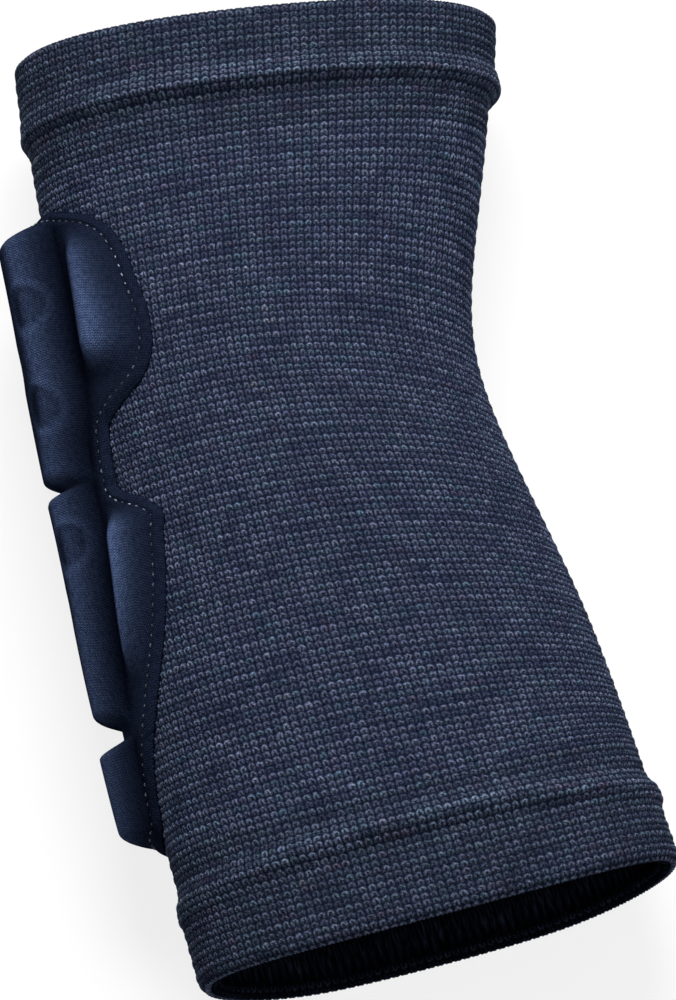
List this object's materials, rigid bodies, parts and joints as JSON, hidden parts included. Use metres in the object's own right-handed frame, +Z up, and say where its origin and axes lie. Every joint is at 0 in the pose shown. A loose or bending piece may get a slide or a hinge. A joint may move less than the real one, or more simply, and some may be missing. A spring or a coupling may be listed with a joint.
{
  "type": "elbow pad",
  "caption": "Slip-on elbow pad: a knitted tube with turned elastic hems and a moulded foam pad in rows sewn over the outer side, lying on its side.",
  "frame": {"origin": "on the plane the sleeve lies on, under the middle of the elbow section", "axes": "+Y up along the upper arm, +X to the crook of the elbow and -X to the pad, +Z up from the side the sleeve lies on"},
  "size_m": [0.1473, 0.2264, 0.0609],
  "materials": {
    "knit": "coarse heathered navy rib knit, matt",
    "hem_knit": "finer navy knit, doubled, matt",
    "pad_cloth": "smooth navy stretch cloth moulded over foam, soft sheen",
    "backing": "thin navy backing cloth",
    "foam": "closed-cell foam, matt",
    "elastic": "woven black elastic",
    "thread": "blue grey sewing thread"
  },
  "bodies": {
    "upper_arm": {"upper_arm_knit": "knit", "upper_hem": "hem_knit", "upper_hem_elastic": "elastic", "upper_hem_thread": "thread", "upper_pad_cover": "pad_cloth", "upper_pad_backing": "backing", "upper_center_foam": "foam", "upper_front_foam": "foam", "upper_back_foam": "foam", "upper_pad_stitching": "thread"},
    "elbow": {"elbow_knit": "knit", "upper_flex_web": "pad_cloth", "middle_pad_cover": "pad_cloth", "middle_pad_backing": "backing", "middle_center_foam": "foam", "middle_front_foam": "foam", "middle_back_foam": "foam", "middle_front_stitching": "thread", "middle_back_stitching": "thread"},
    "forearm": {"forearm_knit": "knit", "lower_hem": "hem_knit", "lower_hem_elastic": "elastic", "lower_hem_thread": "thread", "lower_flex_web": "pad_cloth", "lower_pad_cover": "pad_cloth", "lower_pad_backing": "backing", "lower_center_foam": "foam", "lower_pad_stitching": "thread"}
  },
  "joints": [
    {"name": "elbow_bend", "type": "hinge", "parent": "upper_arm", "child": "elbow", "pos_m": [-0.01748, -0.02015, 0.0285], "axis": [0, 0, 1], "range_deg": [-6.5, 60], "stiffness_Nm_per_rad": 0.02, "deforming": ["elbow_knit", "upper_flex_web"]},
    {"name": "forearm_bend", "type": "hinge", "parent": "elbow", "child": "forearm", "pos_m": [-0.00998, -0.07888, 0.0285], "axis": [0, 0, 1], "range_deg": [-1.6, 14], "deforming": ["lower_flex_web"]}
  ],
  "couplings": [
    {"joint": "forearm_bend", "follows": "elbow_bend", "ratio": 0.23}
  ]
}
